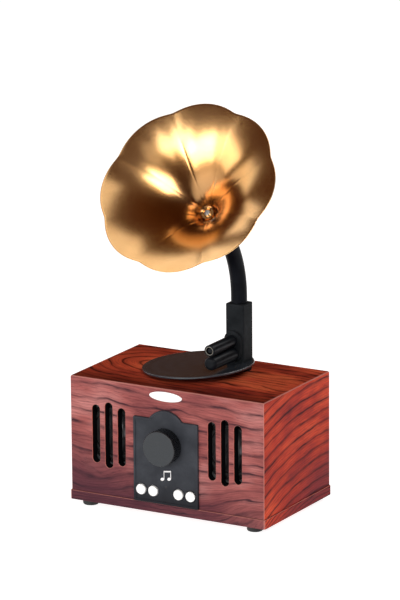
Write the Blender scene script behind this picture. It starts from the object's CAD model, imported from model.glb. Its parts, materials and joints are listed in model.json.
import json
from math import atan2, cos, exp, pi, radians, sin, sqrt

import bmesh
import bpy
from mathutils import Matrix, Vector


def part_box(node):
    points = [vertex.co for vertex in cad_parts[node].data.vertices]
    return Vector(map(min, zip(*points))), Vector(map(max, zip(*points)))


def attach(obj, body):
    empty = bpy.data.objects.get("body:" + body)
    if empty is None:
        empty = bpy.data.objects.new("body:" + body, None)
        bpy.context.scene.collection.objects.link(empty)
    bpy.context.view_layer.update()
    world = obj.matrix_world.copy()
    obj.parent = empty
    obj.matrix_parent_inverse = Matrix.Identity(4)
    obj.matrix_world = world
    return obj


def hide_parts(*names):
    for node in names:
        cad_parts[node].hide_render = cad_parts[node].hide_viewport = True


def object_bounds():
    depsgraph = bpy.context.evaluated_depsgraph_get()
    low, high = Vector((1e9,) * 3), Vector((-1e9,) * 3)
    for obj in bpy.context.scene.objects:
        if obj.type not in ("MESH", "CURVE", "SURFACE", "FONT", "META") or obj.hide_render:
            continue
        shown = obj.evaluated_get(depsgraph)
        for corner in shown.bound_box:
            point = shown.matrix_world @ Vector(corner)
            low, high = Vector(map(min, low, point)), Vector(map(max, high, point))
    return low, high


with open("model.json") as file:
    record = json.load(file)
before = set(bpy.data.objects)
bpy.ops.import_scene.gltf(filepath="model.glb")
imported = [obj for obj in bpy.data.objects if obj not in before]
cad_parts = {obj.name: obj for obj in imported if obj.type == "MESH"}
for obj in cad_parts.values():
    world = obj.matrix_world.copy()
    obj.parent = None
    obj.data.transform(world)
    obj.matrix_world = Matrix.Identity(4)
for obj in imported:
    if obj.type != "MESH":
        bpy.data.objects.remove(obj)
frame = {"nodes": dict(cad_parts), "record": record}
CAD_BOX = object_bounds()
MM = 0.001

# A small gramophone-styled loudspeaker: wood-grain cabinet, black control panel,
# black disc and post, and a petalled gold horn. Everything is in metres in the CAD frame,
# except that the materials measure places on the surface in millimetres.

# ---------------------------------------------------------------- sizes taken from the frame
FLOOR_Z = CAD_BOX[0][2]
FRONT_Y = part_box("front_baffle")[0].y
PANEL_LOW, PANEL_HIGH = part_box("control_panel")
KNOB_LOW, KNOB_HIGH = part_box("volume_knob")
KNOB_CENTRE = (KNOB_LOW + KNOB_HIGH) / 2


# ---------------------------------------------------------------- scene and node helpers
def add_object(name, data):
    """An object that holds the given mesh, light or camera, linked to the scene."""
    made = bpy.data.objects.new(name, data)
    bpy.context.scene.collection.objects.link(made)
    return made


def add_node(tree, kind, inputs=None, **settings):
    """Add one shader node, set its properties, and fill or link its inputs."""
    made = tree.nodes.new(kind)
    for key, value in settings.items():
        setattr(made, key, value)
    for socket, value in (inputs or {}).items():
        if isinstance(value, bpy.types.NodeSocket):
            tree.links.new(value, made.inputs[socket])
        else:
            made.inputs[socket].default_value = value
    return made


def maths(tree, operation, first, second=0.0, third=0.0):
    """One Math node; returns its output socket."""
    inputs = {0: first, 1: second, 2: third}
    return add_node(tree, "ShaderNodeMath", inputs, operation=operation).outputs[0]


def vector_maths(tree, operation, inputs):
    """One Vector Math node; returns its outputs."""
    return add_node(tree, "ShaderNodeVectorMath", inputs, operation=operation).outputs


def mix_colour(tree, factor, first, second, blend="MIX"):
    """Mix two colours; returns the output socket."""
    inputs = {0: factor, 6: first, 7: second}
    return add_node(tree, "ShaderNodeMix", inputs, data_type="RGBA", blend_type=blend).outputs[2]


def mix_number(tree, factor, first, second):
    """Mix two numbers; returns the output socket."""
    return add_node(tree, "ShaderNodeMix", {0: factor, 2: first, 3: second}).outputs[0]


def ramp(tree, factor, stops):
    """A colour ramp with (position, colour) stops; returns its colour output."""
    made = add_node(tree, "ShaderNodeValToRGB", {0: factor})
    elements = made.color_ramp.elements
    while len(elements) < len(stops):
        elements.new(0.5)
    for element, (position, colour) in zip(elements, stops):
        element.position = position
        element.color = colour if len(colour) == 4 else (*colour, 1.0)
    return made.outputs[0]


def greys(*stops):
    """Ramp stops from (position, grey) pairs."""
    return [(position, (grey, grey, grey)) for position, grey in stops]


def smooth_step(tree, value, low, high):
    """0 at low, 1 at high, smooth between and level beyond; returns the output socket."""
    made = add_node(
        tree,
        "ShaderNodeMapRange",
        {0: value, 1: low, 2: high, 3: 0.0, 4: 1.0},
        interpolation_type="SMOOTHSTEP",
    )
    return made.outputs[0]


def millimetres(tree):
    """The object-space position in millimetres."""
    position = add_node(tree, "ShaderNodeTexCoord").outputs["Object"]
    return vector_maths(tree, "SCALE", {0: position, "Scale": 1000.0})[0]


def facing_parts(tree):
    """The x, y and z of the object-space normal."""
    normal = add_node(tree, "ShaderNodeTexCoord").outputs["Normal"]
    return add_node(tree, "ShaderNodeSeparateXYZ", {0: normal}).outputs


def radius_about(tree, place, shift, across):
    """The distance from an axis, in mm: shift brings the axis to the origin, across is 0 along it."""
    moved = vector_maths(tree, "ADD", {0: place, 1: shift})[0]
    flat = vector_maths(tree, "MULTIPLY", {0: moved, 1: across})[0]
    return vector_maths(tree, "LENGTH", {0: flat})["Value"]


def waves(tree, distance, spacing):
    """A sine wave over a distance, one wave to each spacing."""
    return maths(tree, "SINE", maths(tree, "MULTIPLY", distance, 2 * pi / spacing))


def noise(tree, vector, scale, detail=3.0, roughness=0.5):
    """Noise in 3D; scale is in waves per millimetre. Returns the grey output."""
    inputs = {"Vector": vector, "Scale": scale, "Detail": detail, "Roughness": roughness}
    return add_node(tree, "ShaderNodeTexNoise", inputs).outputs[0]


def start_material(name, **sockets):
    """A material with a Principled shader whose constant sockets are set directly."""
    made = bpy.data.materials.new(name)
    made.use_nodes = True
    shader = made.node_tree.nodes["Principled BSDF"]
    for socket, value in sockets.items():
        shader.inputs[socket.replace("_", " ")].default_value = value
    return made, made.node_tree, shader


def paint(tree, shader, colour):
    """Link a colour to the shader."""
    tree.links.new(colour, shader.inputs["Base Color"])


def roughen(tree, shader, rough):
    """Link a roughness to the shader."""
    tree.links.new(rough, shader.inputs["Roughness"])


def roughen_by(tree, shader, grain, low, high):
    """Spread the usual range of a noise over two roughnesses, and link it to the shader."""
    spread = add_node(tree, "ShaderNodeMapRange", {0: grain, 1: 0.3, 2: 0.7, 3: low, 4: high})
    roughen(tree, shader, spread.outputs[0])


def bump(tree, shader, height, strength, distance):
    """Feed a height into the shader's normal. distance is in metres."""
    inputs = {"Height": height, "Strength": strength, "Distance": distance}
    made = add_node(tree, "ShaderNodeBump", inputs)
    tree.links.new(made.outputs[0], shader.inputs["Normal"])


# ---------------------------------------------------------------- rosewood vinyl
# Colours are linear.
FRONT_TONES = [
    (0.35, (0.20, 0.053, 0.054, 1.0)),
    (0.52, (0.32, 0.094, 0.086, 1.0)),
    (0.70, (0.45, 0.175, 0.162, 1.0)),
]
FRONT_SHADE = (0.062, 0.021, 0.033, 1.0)
FRONT_DARK = (0.030, 0.015, 0.022, 1.0)
SIDE_TONES = [
    (0.33, (0.24, 0.019, 0.018, 1.0)),
    (0.50, (0.46, 0.038, 0.017, 1.0)),
    (0.70, (0.72, 0.085, 0.030, 1.0)),
]
SIDE_SHADE = (0.16, 0.016, 0.026, 1.0)
SIDE_DARK = (0.020, 0.005, 0.009, 1.0)
TOP_TONES = [
    (0.33, (0.22, 0.024, 0.014, 1.0)),
    (0.50, (0.50, 0.072, 0.032, 1.0)),
    (0.70, (0.58, 0.115, 0.045, 1.0)),
]
TOP_SHADE = (0.040, 0.002, 0.002, 1.0)
TOP_DARK = (0.012, 0.002, 0.002, 1.0)
FIBRE_TINTS = [(0.30, (0.60, 0.58, 0.60)), (0.50, (1.0, 1.0, 1.0)), (0.70, (1.25, 1.20, 1.16))]
EDGE_PINK = (0.55, 0.23, 0.19, 1.0)
SLOT_BLACK = (0.004, 0.004, 0.005, 1.0)

# Places and lengths on the cabinet are in millimetres.
FRONT_TILT = 0.035
FRONT_LOOP_CENTRE = (76.0, 14.0)
FRONT_LOOP_REACH = (32.0, 17.0)
FRONT_LOOP_HEIGHT = -17.0
FRONT_DIP_CENTRE = (-62.0, 16.0)
FRONT_DIP_REACH = (34.0, 15.0)
FRONT_DIP_HEIGHT = 11.0
SIDE_ARC_Y = 34.0
SIDE_ARC_BELOW = 172.0
TOP_TIP_LEFT = 30.0
TOP_TIP_SQUEEZE = 0.55
TOP_TILT = 0.05
TOP_LOOP_Y = 4.0
PLINTH_TOP = 6.7
PLINTH_FULL = 6.4
PLINTH_EXTRA_RINGS = 0.22
FACE_TURNS = (0.66, 0.74)
FOLD_TURNS = (0.985, 0.86)

# Where a face grows darker: not at all at the first place, and fully at the second.
FRONT_LOW_LEFT = (44.0, -4.0)
FRONT_SHADE_SLOPE = 0.22
SIDE_LOW_BACK = (22.0, -6.0)
SIDE_SHADE_SLOPE = -0.55
TOP_NEAR_FRONT = (-18.0, -44.0)

# Each of these has one value for the front, one for the side and one for the top.
GRAIN_PAGE = (11.0, 137.0, 271.0)
GRAIN_BEND = (11.0, 5.0, 13.0)
GRAIN_RIPPLE = (1.8, 0.9, 2.2)
RINGS_PER_MM = (0.110, 0.128, 0.155)
FAINTEST_LINE = (0.42, 0.72, 0.62)

# One growth ring, from 0 to 1 across it: pale early wood, then a dark line that ends sharply.
RING_PROFILE = greys(
    (0.0, 0.25), (0.10, 0.05), (0.50, 0.0), (0.76, 0.30), (0.86, 1.0), (0.93, 0.95), (1.0, 0.25)
)
LINE_STRENGTHS = greys((0.36, 0.25), (0.60, 1.0))
GRAIN_STRETCH = 0.45
FIBRE_STRETCH = 0.07
FINE_RINGS = 4.3


def hill(tree, first, second, centre, reach):
    """A smooth bump of height 1 over two coordinates.

    Added to the distance across the grain, it bends the lines, or closes them into a loop if it is high.
    """
    parts = []
    for value, middle, width in ((first, centre[0], reach[0]), (second, centre[1], reach[1])):
        scaled = maths(tree, "MULTIPLY", maths(tree, "SUBTRACT", value, middle), 1 / width)
        parts.append(maths(tree, "MULTIPLY", scaled, scaled))
    return maths(tree, "EXPONENT", maths(tree, "MULTIPLY", maths(tree, "ADD", parts[0], parts[1]), -1.0))


def rosewood(name, black_behind=None):
    """Printed rosewood vinyl: each face of the cabinet has its own run of grain.

    black_behind is a depth in mm: whatever lies behind it, such as a slot's walls, is painted black.
    """
    made, tree, shader = start_material(name, Specular_IOR_Level=0.045)
    place = millimetres(tree)
    split = add_node(tree, "ShaderNodeSeparateXYZ", {0: place}).outputs
    x, y, z = split[0], split[1], split[2]
    facing = facing_parts(tree)
    sideways, lengthways, upwards = [maths(tree, "ABSOLUTE", facing[axis]) for axis in range(3)]
    on_top = smooth_step(tree, upwards, *FACE_TURNS)
    on_side = smooth_step(tree, sideways, *FACE_TURNS)
    on_plinth = smooth_step(tree, z, PLINTH_TOP, PLINTH_FULL)

    def choose(front, side, top):
        """The value for this face."""
        return mix_number(tree, on_top, mix_number(tree, on_side, front, side), top)

    def choose_colour(front, side, top):
        """The colour for this face."""
        return mix_colour(tree, on_top, mix_colour(tree, on_side, front, side), top)

    # Front: almost level streaks, closed into a loop low on the right and bent low on the left.
    front_across = maths(tree, "MULTIPLY_ADD", x, FRONT_TILT, z)
    loop = hill(tree, x, z, FRONT_LOOP_CENTRE, FRONT_LOOP_REACH)
    front_across = maths(tree, "MULTIPLY_ADD", loop, FRONT_LOOP_HEIGHT, front_across)
    dip = hill(tree, x, z, FRONT_DIP_CENTRE, FRONT_DIP_REACH)
    front_across = maths(tree, "MULTIPLY_ADD", dip, FRONT_DIP_HEIGHT, front_across)
    # Side: long arcs about a point far below the back, steep low at the front and flat near the top.
    side_y = maths(tree, "SUBTRACT", y, SIDE_ARC_Y)
    side_z = maths(tree, "ADD", z, SIDE_ARC_BELOW)
    side_squares = maths(tree, "MULTIPLY_ADD", side_y, side_y, maths(tree, "MULTIPLY", side_z, side_z))
    side_across = maths(tree, "SQRT", side_squares)
    # Top: nested loops running along the cabinet, closed near its left end.
    beyond = maths(tree, "MINIMUM", maths(tree, "ADD", x, TOP_TIP_LEFT), 0.0)
    past_tip = maths(tree, "MULTIPLY", beyond, TOP_TIP_SQUEEZE)
    aside = maths(tree, "MULTIPLY_ADD", x, TOP_TILT, maths(tree, "SUBTRACT", y, TOP_LOOP_Y))
    top_squares = maths(tree, "MULTIPLY_ADD", past_tip, past_tip, maths(tree, "MULTIPLY", aside, aside))
    top_across = maths(tree, "SQRT", top_squares)

    along = choose(x, y, x)
    across = choose(front_across, side_across, top_across)
    page = choose(*GRAIN_PAGE)

    def grain_at(stretch):
        """A place in the grain, which is long along the face and narrow across it."""
        inputs = {0: maths(tree, "MULTIPLY", along, stretch), 1: across, 2: page}
        return add_node(tree, "ShaderNodeCombineXYZ", inputs).outputs[0]

    grain_place = grain_at(GRAIN_STRETCH)
    fibre_place = grain_at(FIBRE_STRETCH)

    # Growth rings: the distance across the grain, bent by slow noise, cut into uneven rings.
    bend = maths(tree, "SUBTRACT", noise(tree, grain_place, 0.055, detail=2.0), 0.5)
    ripple = maths(tree, "SUBTRACT", noise(tree, grain_place, 0.22, roughness=0.6), 0.5)
    bent = maths(tree, "MULTIPLY_ADD", bend, choose(*GRAIN_BEND), across)
    bent = maths(tree, "MULTIPLY_ADD", ripple, choose(*GRAIN_RIPPLE), bent)
    ring_share = maths(tree, "MULTIPLY_ADD", on_plinth, PLINTH_EXTRA_RINGS, choose(*RINGS_PER_MM))
    line = ramp(tree, maths(tree, "FRACT", maths(tree, "MULTIPLY", bent, ring_share)), RING_PROFILE)
    strong = ramp(tree, noise(tree, grain_place, 0.085, detail=2.0), LINE_STRENGTHS)
    strong = maths(tree, "MAXIMUM", strong, choose(*FAINTEST_LINE))
    line_share = maths(tree, "MULTIPLY", line, strong)
    fine_share = maths(tree, "MULTIPLY", ring_share, FINE_RINGS)
    fine_ring = maths(tree, "FRACT", maths(tree, "MULTIPLY", bent, fine_share))
    fine_line = smooth_step(tree, fine_ring, 0.45, 1.0)

    # Colours: washed salmon and grey-violet in front, orange-red at the sides, dark red on top.
    cloud = noise(tree, grain_place, 0.04, roughness=0.6)
    front_height = maths(tree, "MULTIPLY_ADD", x, FRONT_SHADE_SLOPE, z)
    side_height = maths(tree, "MULTIPLY_ADD", y, SIDE_SHADE_SLOPE, z)
    low_left = smooth_step(tree, front_height, *FRONT_LOW_LEFT)
    low_back = smooth_step(tree, side_height, *SIDE_LOW_BACK)
    near_front = smooth_step(tree, y, *TOP_NEAR_FRONT)

    def shaded(tones, factor, strength, shade):
        """Cloudy tones, darkened where factor is 1."""
        tone = ramp(tree, cloud, tones)
        return mix_colour(tree, maths(tree, "MULTIPLY", factor, strength), tone, shade)

    light = choose_colour(
        shaded(FRONT_TONES, low_left, 0.85, FRONT_SHADE),
        shaded(SIDE_TONES, low_back, 0.8, SIDE_SHADE),
        shaded(TOP_TONES, near_front, 0.8, TOP_SHADE),
    )
    dark = choose_colour(FRONT_DARK, SIDE_DARK, TOP_DARK)
    banded = mix_colour(tree, maths(tree, "MULTIPLY", line_share, 0.92), light, dark)
    fibre = noise(tree, fibre_place, 1.1, detail=4.0, roughness=0.65)
    fibred = mix_colour(tree, 0.8, banded, ramp(tree, fibre, FIBRE_TINTS), "MULTIPLY")
    veiled = mix_colour(tree, maths(tree, "MULTIPLY", fine_line, 0.22), fibred, dark)
    pore = smooth_step(tree, noise(tree, fibre_place, 2.4, detail=2.0), 0.62, 0.72)
    coloured = mix_colour(tree, maths(tree, "MULTIPLY", pore, 0.45), veiled, dark)

    # Edges: the vinyl is rubbed paler where it folds over the rounded corners.
    flattest = maths(tree, "MAXIMUM", sideways, maths(tree, "MAXIMUM", lengthways, upwards))
    folded = smooth_step(tree, flattest, *FOLD_TURNS)
    finished = mix_colour(tree, maths(tree, "MULTIPLY", folded, 0.6), coloured, EDGE_PINK)
    if black_behind is not None:
        behind = smooth_step(tree, y, black_behind - 0.1, black_behind + 0.1)
        finished = mix_colour(tree, behind, finished, SLOT_BLACK)
    paint(tree, shader, finished)
    rough = maths(tree, "MULTIPLY_ADD", fibre, 0.16, 0.34)
    roughen(tree, shader, maths(tree, "MULTIPLY_ADD", line_share, 0.08, rough))
    ridges = maths(tree, "MULTIPLY", fibre, 0.6)
    pits = maths(tree, "MULTIPLY", pore, 0.5)
    bump(tree, shader, maths(tree, "SUBTRACT", ridges, pits), 0.35, 0.00012)
    return made


# ---------------------------------------------------------------- plastics, rubber and metals
def moulded_parts(name, low_rough, high_rough, speckle, relief, **sockets):
    """The surface of moulded plastic, without its colour: spark-eroded texture and handling marks."""
    made, tree, shader = start_material(name, **sockets)
    place = millimetres(tree)
    smear = noise(tree, place, 0.35, detail=4.0, roughness=0.7)
    roughen_by(tree, shader, smear, low_rough, high_rough)
    bump(tree, shader, noise(tree, place, speckle, detail=2.0, roughness=0.6), relief, 0.00006)
    return made, tree, shader


def moulded(name, dark, light, low_rough, high_rough, speckle=2.2, relief=0.25, **sockets):
    """Moulded plastic with a faint cloudy tone between two colours."""
    made, tree, shader = moulded_parts(name, low_rough, high_rough, speckle, relief, **sockets)
    cloud = noise(tree, millimetres(tree), 0.09, roughness=0.55)
    paint(tree, shader, ramp(tree, cloud, [(0.35, dark), (0.68, light)]))
    return made


GOLD_TONES = [(0.30, (0.78, 0.45, 0.185)), (0.55, (0.83, 0.50, 0.215)), (0.75, (0.88, 0.55, 0.25))]
GOLD_SPECK = (0.45, 0.25, 0.08, 1.0)
# How the lacquer darkens towards the throat, by the distance from it in units of 100 mm.
THROAT_TINTS = [
    (0.06, (0.44, 0.37, 0.33)),
    (0.15, (0.54, 0.50, 0.49)),
    (0.25, (0.58, 0.51, 0.47)),
    (0.34, (0.70, 0.60, 0.50)),
    (0.46, (0.95, 0.89, 0.77)),
    (0.62, (1.0, 1.0, 1.0)),
]


def gold(name, throat=None):
    """Satin gold lacquer on spun metal: soft mottling and fine specks.

    throat is a place in mm: the lacquer is darkest there and has its full colour at the rim.
    """
    made, tree, shader = start_material(name, Metallic=1.0)
    place = millimetres(tree)
    tone = ramp(tree, noise(tree, place, 0.035, roughness=0.55), GOLD_TONES)
    if throat is not None:
        away = vector_maths(tree, "DISTANCE", {0: place, 1: tuple(throat)})["Value"]
        depth = ramp(tree, maths(tree, "MULTIPLY", away, 0.01), THROAT_TINTS)
        tone = mix_colour(tree, 1.0, tone, depth, "MULTIPLY")
    speck = smooth_step(tree, noise(tree, place, 1.4, roughness=0.6), 0.60, 0.80)
    paint(tree, shader, mix_colour(tree, maths(tree, "MULTIPLY", speck, 0.22), tone, GOLD_SPECK))
    roughen_by(tree, shader, noise(tree, place, 0.6, detail=4.0, roughness=0.7), 0.155, 0.205)
    bump(tree, shader, noise(tree, place, 3.0, detail=2.0), 0.12, 0.00004)
    return made


def metal(name, dark, light, low_rough, high_rough):
    """Plain machined or plated metal with a mottled tone."""
    made, tree, shader = start_material(name, Metallic=1.0)
    streak = noise(tree, millimetres(tree), 1.6, detail=4.0, roughness=0.6)
    paint(tree, shader, ramp(tree, streak, [(0.3, dark), (0.7, light)]))
    roughen_by(tree, shader, streak, low_rough, high_rough)
    bump(tree, shader, streak, 0.2, 0.00003)
    return made


# Spacings of fine turned marks, in millimetres.
GROOVE_SPACING = 0.8
BAND_SPACING = 9.0
TURNING_SPACING = 0.45
# The panel grows darker between these heights from its foot, in millimetres.
PANEL_SHADE = (24.0, -4.0)


def disc_black():
    """Polished black disc: concentric grooves too fine to see singly, which stretch the gloss."""
    made, tree, shader = start_material(
        "disc_black", Coat_Weight=0.6, Coat_Roughness=0.08, Anisotropic=0.5
    )
    low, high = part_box("record_disc")
    centre = (low + high) / 2
    place = millimetres(tree)
    shift = (-centre.x / MM, -centre.y / MM, 0.0)
    radius = radius_about(tree, place, shift, (1.0, 1.0, 0.0))
    groove = waves(tree, radius, GROOVE_SPACING)
    band = waves(tree, radius, BAND_SPACING)
    dust = noise(tree, place, 0.8, detail=4.0, roughness=0.7)
    shade = maths(tree, "MULTIPLY_ADD", band, 0.08, dust)
    blacks = [(0.3, (0.017, 0.021, 0.027)), (0.8, (0.044, 0.052, 0.064))]
    paint(tree, shader, ramp(tree, shade, blacks))
    roughen(tree, shader, maths(tree, "MULTIPLY_ADD", dust, 0.14, 0.16))
    bump(tree, shader, groove, 0.12, 0.00004)
    return made


def knob_black():
    """The knob: a matt spun face, and a gloss black side."""
    made, tree, shader = start_material("knob_black", Specular_IOR_Level=0.4)
    place = millimetres(tree)
    on_face = smooth_step(tree, facing_parts(tree)[1], -0.90, -0.99)
    radius = radius_about(tree, place, tuple(-KNOB_CENTRE / MM), (1.0, 0.0, 1.0))
    turning = waves(tree, radius, TURNING_SPACING)
    grit = noise(tree, place, 1.8, roughness=0.6)
    face = ramp(tree, grit, [(0.3, (0.017, 0.021, 0.025)), (0.7, (0.027, 0.032, 0.037))])
    side = ramp(tree, grit, [(0.3, (0.003, 0.004, 0.005)), (0.7, (0.008, 0.009, 0.011))])
    paint(tree, shader, mix_colour(tree, on_face, side, face))
    rough = mix_number(tree, on_face, 0.24, 0.5)
    roughen(tree, shader, maths(tree, "MULTIPLY_ADD", grit, 0.06, rough))
    bump(tree, shader, maths(tree, "MULTIPLY_ADD", turning, 0.3, grit), 0.2, 0.00003)
    return made


def panel_slate():
    """The control panel: fine moulded texture, slate grey that deepens towards its foot."""
    made, tree, shader = moulded_parts("panel_slate", 0.42, 0.55, 2.2, 0.35, Specular_IOR_Level=0.14)
    place = millimetres(tree)
    height = add_node(tree, "ShaderNodeSeparateXYZ", {0: place}).outputs[2]
    cloud = noise(tree, place, 0.09, roughness=0.55)
    slate = ramp(tree, cloud, [(0.35, (0.025, 0.028, 0.035)), (0.68, (0.040, 0.044, 0.053))])
    foot = PANEL_LOW.z / MM
    low = smooth_step(tree, height, foot + PANEL_SHADE[0], foot + PANEL_SHADE[1])
    deep = (0.005, 0.005, 0.008, 1.0)
    paint(tree, shader, mix_colour(tree, maths(tree, "MULTIPLY", low, 0.9), slate, deep))
    return made


def circuit():
    """Green solder mask with thin pale copper tracks."""
    made, tree, shader = start_material("circuit_board", Coat_Weight=0.4, Coat_Roughness=0.2)
    place = millimetres(tree)
    tracks = {
        "Vector": place,
        "Scale": 0.35,
        "Mortar Size": 0.03,
        "Color1": (0.012, 0.10, 0.040, 1.0),
        "Color2": (0.016, 0.12, 0.050, 1.0),
        "Mortar": (0.06, 0.22, 0.09, 1.0),
    }
    cells = add_node(tree, "ShaderNodeTexBrick", tracks).outputs[0]
    tint = ramp(tree, noise(tree, place, 0.5), greys((0.3, 0.8), (0.7, 1.1)))
    paint(tree, shader, mix_colour(tree, 0.8, cells, tint, "MULTIPLY"))
    roughen(tree, shader, maths(tree, "MULTIPLY_ADD", noise(tree, place, 1.0), 0.2, 0.3))
    return made


# The finish of each material slot of the CAD.
MATERIALS = {
    "rosewood_vinyl": rosewood("rosewood_vinyl"),
    "raw_wood": moulded("raw_wood", (0.42, 0.29, 0.16), (0.60, 0.45, 0.28), 0.6, 0.8, speckle=0.9),
    "black_plastic": moulded(
        "black_plastic", (0.008, 0.009, 0.011), (0.016, 0.018, 0.021), 0.40, 0.50,
        Specular_IOR_Level=0.15,
    ),
    "gloss_black": disc_black(),
    "satin_gold": gold("satin_gold"),
    "rubber_black": moulded(
        "rubber_black", (0.006, 0.006, 0.006), (0.018, 0.018, 0.018), 0.6, 0.8, speckle=1.5
    ),
    "white_plastic": moulded(
        "white_plastic", (0.93, 0.93, 0.92), (0.98, 0.98, 0.97), 0.18, 0.3, relief=0.05,
        Coat_Weight=0.5, Coat_Roughness=0.1,
    ),
    "screw_steel": metal("screw_steel", (0.42, 0.42, 0.43), (0.66, 0.66, 0.67), 0.25, 0.42),
    "frame_steel": moulded(
        "frame_steel", (0.10, 0.104, 0.108), (0.16, 0.164, 0.168), 0.35, 0.5, Metallic=0.6
    ),
    "magnet_ferrite": moulded(
        "magnet_ferrite", (0.03, 0.03, 0.033), (0.07, 0.07, 0.075), 0.5, 0.7, speckle=1.2
    ),
    "cone_paper": moulded(
        "cone_paper", (0.020, 0.020, 0.022), (0.045, 0.045, 0.048), 0.5, 0.7, speckle=0.8, relief=0.5
    ),
    "cap_silver": metal("cap_silver", (0.12, 0.12, 0.125), (0.17, 0.17, 0.175), 0.34, 0.44),
    "circuit_board": circuit(),
    "brass_pin": metal("brass_pin", (0.55, 0.38, 0.14), (0.80, 0.60, 0.28), 0.2, 0.35),
    "battery_wrap": moulded("battery_wrap", (0.03, 0.09, 0.25), (0.05, 0.13, 0.34), 0.2, 0.35),
    "clear_pipe": moulded("clear_pipe", (0.004, 0.004, 0.005), (0.010, 0.010, 0.012), 0.1, 0.2),
}

# ---------------------------------------------------------------- horn bell
# Where the horn stands: the neck rises from the post and bends over towards the front.
HORN_YAW = radians(2.0)
NECK_TURN = radians(50.3)
FORWARD = Vector((sin(HORN_YAW), -cos(HORN_YAW), 0.0))
SIDEWAYS = Vector((0, 0, 1)).cross(FORWARD)
HORN_AXIS = FORWARD * sin(NECK_TURN) + Vector((0, 0, 1)) * cos(NECK_TURN)
POST_PLACE = Vector((0.0185, 0.0217, 0.1343))
NECK_STRAIGHT = 0.0035
NECK_BEND = 0.0656
NECK_END = 0.0245
HORN_FLOOR = 0.002
NECK_REACH = NECK_BEND * (1 - cos(NECK_TURN)) + NECK_END * sin(NECK_TURN)
NECK_RISE = NECK_STRAIGHT + NECK_BEND * sin(NECK_TURN) + NECK_END * cos(NECK_TURN)
THROAT_ORIGIN = POST_PLACE + FORWARD * NECK_REACH + Vector((0, 0, NECK_RISE)) + HORN_AXIS * HORN_FLOOR

# The bell's shape. A share is a part of the way from the throat (0) to the rim (1).
HORN_DEPTH = 0.0383
HORN_WALL = 0.0006
THROAT_RADIUS = 0.005
THROAT_SLOPE = 0.65
NOTCH_RADIUS = 0.058
FLARE_POWER = 2.2
LIP_SPREAD = 0.00098
LIP_POWER = 6
FOOT_RADIUS = 0.0065
PETALS = 8
PETAL_PHASE = radians(28.7)
PETAL_SWELL = 0.057
PETAL_POWER = 4.5
SWELL_FROM = 0.02
CREASE_RIDGE = 0.00016
CREASE_WIDTH = 0.0007
RIDGE_GAIN = 6
CREASE_ROUNDING_DEG = 0.7
RIM_EXTRA_ROUNDING_DEG = 1.6

# How finely the bell is meshed.
COLUMNS_PER_PETAL = 48
COLUMNS = PETALS * COLUMNS_PER_PETAL
ROWS = 72
ROW_POWER = 0.8
LIP_STEPS = 8
EVEN_PART = 0.45
CROWDED_PART = 0.55
SHARE_STEP = 1e-4


def flare(share):
    """Inner radius at a notch."""
    swell = NOTCH_RADIUS - THROAT_RADIUS - THROAT_SLOPE * HORN_DEPTH
    cone = THROAT_RADIUS + THROAT_SLOPE * HORN_DEPTH * share
    return cone + swell * share**FLARE_POWER + LIP_SPREAD * share**LIP_POWER


def petal_radius(share, angle):
    """Inner radius at an angle: eight shallow arcs, with a fine ridge pressed where two petals meet."""
    half_petal = pi / PETALS
    rounding = radians(CREASE_ROUNDING_DEG + RIM_EXTRA_ROUNDING_DEG * share**3)
    turn = (angle - PETAL_PHASE) % (2 * half_petal) - half_petal
    from_crease = half_petal - abs(turn)
    turn = half_petal - sqrt(from_crease**2 + rounding**2)
    notch = flare(share)
    crest = notch * (1 + PETAL_SWELL * max(share, SWELL_FROM) ** PETAL_POWER)
    centre = (crest**2 - notch**2) / (2 * (crest - notch * cos(half_petal)))
    arc = crest - centre
    skin = centre * cos(turn) + sqrt(arc**2 - (centre * sin(turn)) ** 2)
    strength = CREASE_RIDGE * min(1.0, RIDGE_GAIN * share) * (1 - share**2)
    return skin - strength * exp(-((from_crease * notch / CREASE_WIDTH) ** 2))


def column_angle(column):
    """The angle of a column of points: columns crowd together beside each crease."""
    petal, within = divmod(column, COLUMNS_PER_PETAL)
    spread = 2 * within / COLUMNS_PER_PETAL - 1
    crowded = EVEN_PART * spread + CROWDED_PART * sin(spread * pi / 2)
    return (2 * pi / PETALS) * (petal + 0.5 + 0.5 * crowded)


def bell_point(share, angle, offset, bulge):
    """A point on the skin, offset along the skin's outward normal and bulged past the rim."""
    radius = petal_radius(share, angle)
    rise = petal_radius(share + SHARE_STEP, angle) - petal_radius(share - SHARE_STEP, angle)
    slope = rise / (2 * SHARE_STEP * HORN_DEPTH)
    size = sqrt(1 + slope**2)
    depth = share * HORN_DEPTH - offset * slope / size + bulge / size
    radius = radius + offset / size + bulge * slope / size
    upward = HORN_AXIS.cross(SIDEWAYS)
    outward = SIDEWAYS * cos(angle) + upward * sin(angle)
    return THROAT_ORIGIN + HORN_AXIS * depth + outward * radius


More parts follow.
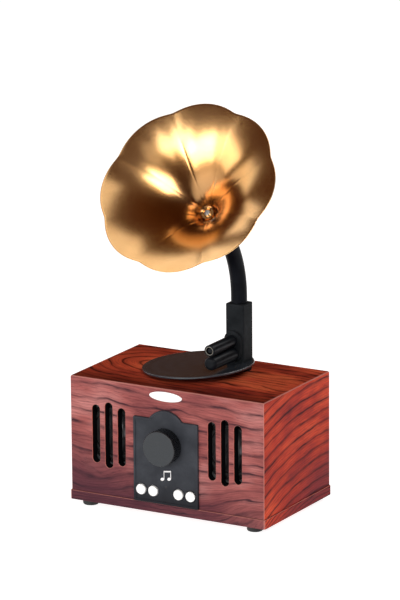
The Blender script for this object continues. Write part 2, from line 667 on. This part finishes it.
def build_horn_bell():
    """The petalled bell: inner skin, rolled lip and outer skin, down to the throat's flat floor."""
    shares = [(row / ROWS) ** ROW_POWER for row in range(ROWS + 1)]
    bead = HORN_WALL / 2
    lip_turns = [pi * k / LIP_STEPS for k in range(1, LIP_STEPS)]
    rows = [(share, 0.0, 0.0) for share in shares]
    rows += [(1.0, bead - bead * cos(turn), bead * sin(turn)) for turn in lip_turns]
    rows += [(share, HORN_WALL, 0.0) for share in reversed(shares)]
    mesh = bmesh.new()
    rings = []
    for share, offset, bulge in rows:
        ring = []
        for k in range(COLUMNS):
            angle = PETAL_PHASE + column_angle(k)
            ring.append(mesh.verts.new(bell_point(max(share, SHARE_STEP), angle, offset, bulge)))
        rings.append(ring)
    for first, second in zip(rings, rings[1:]):
        for k in range(COLUMNS):
            mesh.faces.new((first[k], first[k - 1], second[k - 1], second[k]))

    # The throat's floor: a point inside, a point below it, and the foot where the outer skin ends.
    below = THROAT_ORIGIN - HORN_AXIS * HORN_FLOOR
    inner_floor = mesh.verts.new(THROAT_ORIGIN)
    outer_floor = mesh.verts.new(below)
    outward = [(vert.co - THROAT_ORIGIN).normalized() for vert in rings[0]]
    foot = [mesh.verts.new(below + direction * FOOT_RADIUS) for direction in outward]
    for k in range(COLUMNS):
        mesh.faces.new((inner_floor, rings[0][k - 1], rings[0][k]))
        mesh.faces.new((rings[-1][k - 1], foot[k - 1], foot[k], rings[-1][k]))
        mesh.faces.new((foot[k - 1], outer_floor, foot[k]))
    bmesh.ops.recalc_face_normals(mesh, faces=mesh.faces)
    data = bpy.data.meshes.new("horn_petals")
    mesh.to_mesh(data)
    mesh.free()
    for polygon in data.polygons:
        polygon.use_smooth = True
    data.materials.append(gold("satin_gold_bell", throat=THROAT_ORIGIN / MM))
    return add_object("horn_petals", data)


horn_petals = build_horn_bell()
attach(horn_petals, "horn")
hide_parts("horn_bell")

# ---------------------------------------------------------------- finishes of the CAD nodes
# Some nodes have a finish of their own within their slot. Black starts just behind the front face.
BLACK_FROM_MM = FRONT_Y / MM + 0.5
NODE_LOOKS = {
    "front_baffle": rosewood("rosewood_vinyl_front", black_behind=BLACK_FROM_MM),
    "control_panel": panel_slate(),
    "volume_knob": knob_black(),
    "arm_post": moulded(
        "post_charcoal", (0.009, 0.011, 0.013), (0.017, 0.020, 0.023), 0.5, 0.65, relief=0.4,
        Specular_IOR_Level=0.05,
    ),
    "upper_arm": moulded(
        "arm_gloss", (0.004, 0.005, 0.007), (0.009, 0.011, 0.014), 0.28, 0.36, relief=0.1,
        Specular_IOR_Level=0.09,
    ),
    "neck_tube": moulded(
        "neck_black", (0.002, 0.0025, 0.004), (0.005, 0.006, 0.009), 0.36, 0.46, relief=0.2,
        Specular_IOR_Level=0.05,
    ),
}
NODE_LOOKS["lower_arm"] = NODE_LOOKS["upper_arm"]
for sub_part in frame["record"]["subparts"]:
    node = frame["nodes"][sub_part["node"]]
    look = NODE_LOOKS.get(sub_part["node"], MATERIALS[sub_part["material_slot"]])
    node.data.materials.clear()
    node.data.materials.append(look)

# ---------------------------------------------------------------- printed marks and the arm's ring
PRINT_PROUD = 0.00006
PRINT_SUNK = 0.00004
HEAD_POINTS = 40
RING_POINTS = 48


def tilted_ellipse(centre, radii, tilt):
    """Points round an ellipse, tilted."""
    points = []
    for k in range(HEAD_POINTS):
        angle = 2 * pi * k / HEAD_POINTS
        across, rise = radii[0] * cos(angle), radii[1] * sin(angle)
        points.append((
            centre[0] + across * cos(tilt) - rise * sin(tilt),
            centre[1] + across * sin(tilt) + rise * cos(tilt),
        ))
    return points


def add_mark(mesh, points, face, thickness=1.0):
    """One printed shape on a face, a closed prism from its outline in (x, z).

    Shapes that overlap have different thicknesses, so that no two share a plane.
    """
    front, back = face - PRINT_PROUD * thickness, face + PRINT_SUNK * thickness
    near = [mesh.verts.new((x, front, z)) for x, z in points]
    far = [mesh.verts.new((x, back, z)) for x, z in points]
    mesh.faces.new(near)
    mesh.faces.new(list(reversed(far)))
    for k in range(len(points)):
        mesh.faces.new((near[k - 1], near[k], far[k], far[k - 1]))


def add_ring(mesh, centre, outer, inner, front, back):
    """A flat ring between two depths."""
    angles = [2 * pi * k / RING_POINTS for k in range(RING_POINTS)]
    loops = []
    for radius, depth in ((outer, front), (inner, front), (inner, back), (outer, back)):
        loops.append([
            mesh.verts.new((centre[0] + radius * cos(angle), depth, centre[1] + radius * sin(angle)))
            for angle in angles
        ])
    for first, second in zip(loops, loops[1:] + loops[:1]):
        for k in range(RING_POINTS):
            mesh.faces.new((first[k - 1], first[k], second[k], second[k - 1]))


def fit_print(name, mesh, material, body):
    """Turn a bmesh into a piece that rides a body."""
    bmesh.ops.recalc_face_normals(mesh, faces=mesh.faces)
    data = bpy.data.meshes.new(name)
    mesh.to_mesh(data)
    mesh.free()
    data.materials.append(material)
    made = add_object(name, data)
    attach(made, body)


def round_front(low, high):
    """From a round node's box: the y of its front face, its centre (x, z) and its radius."""
    return low.y, ((low.x + high.x) / 2, (low.z + high.z) / 2), (high.x - low.x) / 2


# A pair of beamed notes in the middle of the panel. Places are measured from the mark's centre.
MARK_X = (PANEL_LOW.x + PANEL_HIGH.x) / 2 + 0.0003
MARK_Z = 0.0270
HEAD_PLACES = ((-0.0026, -0.0026), (0.0026, -0.0018))
HEAD_RADII = (0.00145, 0.00105)
HEAD_TILT = radians(22)
STEM_ASIDE = 0.00125
STEM_LENGTH = 0.0060
STEM_HALF = 0.00022
STEM_THICKNESS = 0.9
BEAM_LEFT = -0.00157
BEAM_RIGHT = 0.00407
BEAM_BOTTOM = 0.0024
BEAM_TOP = 0.0034
BEAM_RISE = 0.0008
BEAM_THICKNESS = 0.8

ink_white = moulded("ink_white", (0.74, 0.74, 0.74), (0.88, 0.88, 0.87), 0.45, 0.6, relief=0.1)
notes = bmesh.new()
for head_x, head_z in HEAD_PLACES:
    note_x, note_z = MARK_X + head_x, MARK_Z + head_z
    add_mark(notes, tilted_ellipse((note_x, note_z), HEAD_RADII, HEAD_TILT), PANEL_LOW.y)
    stem_left = note_x + STEM_ASIDE - STEM_HALF
    stem_right = note_x + STEM_ASIDE + STEM_HALF
    stem_top = note_z + STEM_LENGTH
    stem = [(stem_left, note_z), (stem_right, note_z), (stem_right, stem_top), (stem_left, stem_top)]
    add_mark(notes, stem, PANEL_LOW.y, STEM_THICKNESS)
beam_left, beam_right = MARK_X + BEAM_LEFT, MARK_X + BEAM_RIGHT
beam_bottom, beam_top = MARK_Z + BEAM_BOTTOM, MARK_Z + BEAM_TOP
beam = [
    (beam_left, beam_bottom), (beam_right, beam_bottom + BEAM_RISE),
    (beam_right, beam_top + BEAM_RISE), (beam_left, beam_top),
]
add_mark(notes, beam, PANEL_LOW.y, BEAM_THICKNESS)
fit_print("panel_notes", notes, ink_white, "cabinet")

# A faint ring and a small sign on each push button. A sign's shapes are given with
# their mirroring and their sideways shift, in units of the sign's size.
RING_OUTER = 0.72
BUTTON_RING_INNER = 0.68
SIGN_SIZE = 0.27
TRIANGLE = ((-0.5, -0.6), (0.6, 0.0), (-0.5, 0.6))
BAR = ((-0.14, -0.6), (0.14, -0.6), (0.14, 0.6), (-0.14, 0.6))
SIGNS = {
    "button_outer_left": ((TRIANGLE, -1, 0.15), (BAR, 1, -0.75)),
    "button_inner_left": ((TRIANGLE, 1, -0.25), (BAR, 1, 0.55)),
    "button_inner_right": ((BAR, 1, -0.35), (BAR, 1, 0.35)),
    "button_outer_right": ((TRIANGLE, 1, -0.15), (BAR, 1, 0.75)),
}
ink_grey = moulded("ink_grey", (0.70, 0.70, 0.71), (0.78, 0.78, 0.79), 0.4, 0.55, relief=0.1)
for button, signs in SIGNS.items():
    face, centre, reach = round_front(*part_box(button))
    printed = bmesh.new()
    ring_radii = (reach * RING_OUTER, reach * BUTTON_RING_INNER)
    add_ring(printed, centre, *ring_radii, face - PRINT_PROUD, face + PRINT_SUNK)
    size = reach * SIGN_SIZE
    for shape, mirror, shift in signs:
        outline = [(centre[0] + (mirror * u + shift) * size, centre[1] + w * size) for u, w in shape]
        add_mark(printed, outline, face)
    fit_print(button + "_print", printed, ink_grey, button)

# The bright ring round the upper arm's open end.
ARM_RING_INNER = 0.64
ARM_RING_SUNK = 0.0004
face, centre, reach = round_front(*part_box("upper_arm"))
arm_ring = bmesh.new()
ring_radii = (reach * RING_OUTER, reach * ARM_RING_INNER)
add_ring(arm_ring, centre, *ring_radii, face - PRINT_PROUD, face + ARM_RING_SUNK)
arm_metal = metal("arm_metal", (0.16, 0.15, 0.13), (0.30, 0.28, 0.24), 0.3, 0.45)
fit_print("arm_ring", arm_ring, arm_metal, "cabinet")

# ---------------------------------------------------------------- camera
AZIMUTH = radians(29.88)
ELEVATION = radians(14.64)
ROLL = radians(-0.44)
CAMERA_AIM = Vector((0.0001, 0.0006, 0.1382))
CAMERA_DISTANCE = 3.2004
CAMERA_LENS = 284.45
SENSOR_WIDTH = 36.0
CLIP_END = 50.0

ahead = Vector((-sin(AZIMUTH) * cos(ELEVATION), cos(AZIMUTH) * cos(ELEVATION), -sin(ELEVATION)))
level = ahead.cross(Vector((0, 0, 1))).normalized()
upright = level.cross(ahead)
right = level * cos(ROLL) + upright * sin(ROLL)
up = upright * cos(ROLL) - level * sin(ROLL)
camera_data = bpy.data.cameras.new("camera")
camera_data.lens = CAMERA_LENS
camera_data.sensor_width = SENSOR_WIDTH
camera_data.clip_end = CLIP_END
camera = add_object("camera", camera_data)
camera_turn = Matrix((right, up, -ahead)).transposed().to_4x4()
camera.matrix_world = Matrix.Translation(CAMERA_AIM - ahead * CAMERA_DISTANCE) @ camera_turn
bpy.context.scene.camera = camera

# ---------------------------------------------------------------- studio
FLOOR_SIZE = 8.0
FLOOR_GREY = (0.46, 0.46, 0.46, 1.0)
FLOOR_GLOW = 0.91
WORLD_COLOUR = (1.0, 0.34, 0.09, 1.0)
WORLD_STRENGTH = 0.07
HORN_HEIGHT = 0.24
BOX_DISTANCE = 1.6
BACK_DISTANCE = 2.2
CEILING_RISE = 1.4


def compass(azimuth, elevation):
    """A direction: azimuth in degrees from the front towards the viewer's right, and elevation."""
    across, rise = radians(azimuth), radians(elevation)
    return Vector((sin(across) * cos(rise), -cos(across) * cos(rise), sin(rise)))


def add_lamp(name, width, depth):
    """A rectangular light that the camera doesn't see."""
    data = bpy.data.lights.new(name, "AREA")
    data.shape = "RECTANGLE"
    data.size, data.size_y = width, depth
    lamp = add_object(name, data)
    lamp.visible_camera = False
    return lamp


def softbox(name, azimuth, elevation, size, radiance, distance=BOX_DISTANCE):
    """A softbox seen from the horn in the given direction, facing it, with an even brightness."""
    lamp = add_lamp(name, *size)
    lamp.data.energy = radiance * pi * size[0] * size[1]
    towards = compass(azimuth, elevation)
    lamp.location = Vector((0, 0, HORN_HEIGHT)) + towards * distance
    lamp.rotation_euler = (-towards).to_track_quat("-Z", "Y").to_euler()


def ceiling_box(name, start, end, depth, radiance):
    """A level softbox over the horn, with one long edge from start to end and the rest to its front left.

    Places are in heights above the horn, so a place's length is the cotangent of its elevation.
    """
    along = Vector((end[0] - start[0], end[1] - start[1]))
    across = Vector((-along.y, along.x)).normalized() * depth
    middle = (Vector(start) + Vector(end)) / 2 + across / 2
    lamp = add_lamp(name, along.length * CEILING_RISE, depth * CEILING_RISE)
    lamp.data.energy = radiance * pi * lamp.data.size * lamp.data.size_y
    lamp.location = Vector((middle.x * CEILING_RISE, middle.y * CEILING_RISE, HORN_HEIGHT + CEILING_RISE))
    lamp.rotation_euler = (0.0, 0.0, atan2(along.y, along.x))


half = FLOOR_SIZE / 2
corners = [(-half, -half, FLOOR_Z), (half, -half, FLOOR_Z), (half, half, FLOOR_Z), (-half, half, FLOOR_Z)]
floor_mesh = bpy.data.meshes.new("floor")
floor_mesh.from_pydata(corners, [], [(0, 1, 2, 3)])
floor = add_object("floor", floor_mesh)
floor_material = start_material(
    "floor_white",
    Roughness=0.6,
    Base_Color=FLOOR_GREY,
    Emission_Color=(1.0, 1.0, 1.0, 1.0),
    Emission_Strength=FLOOR_GLOW,
)[0]
floor_mesh.materials.append(floor_material)

world = bpy.data.worlds.new("studio")
bpy.context.scene.world = world
world.use_nodes = True
background = world.node_tree.nodes["Background"]
background.inputs["Color"].default_value = WORLD_COLOUR
background.inputs["Strength"].default_value = WORLD_STRENGTH
softbox("front_window", -15, 6.5, (1.0, 0.42), 6.6)
softbox("right_window", -47, 6.5, (0.80, 0.40), 2.6)
softbox("petal_step", -2, 14.5, (0.34, 0.32), 4.2)
softbox("left_petal", 7, 24, (0.34, 0.32), 3.6)
softbox("left_fade", 18, 34, (0.34, 0.34), 0.6)
softbox("left_glow", -92, 11, (1.3, 0.50), 1.2)
softbox("low_left", -104, 26, (0.42, 0.40), 1.3)
softbox("right_key", 46, 32, (0.55, 0.55), 9.0)
ceiling_box("sky_front", (0.28, -0.55), (-0.15, 0.12), 0.6, 1.05)
ceiling_box("sky_left", (-0.15, 0.12), (-1.05, 0.52), 0.5, 1.25)
softbox("back_fill", 150, 40, (1.6, 1.2), 3.0, distance=BACK_DISTANCE)
bpy.context.scene.view_settings.view_transform = "Standard"
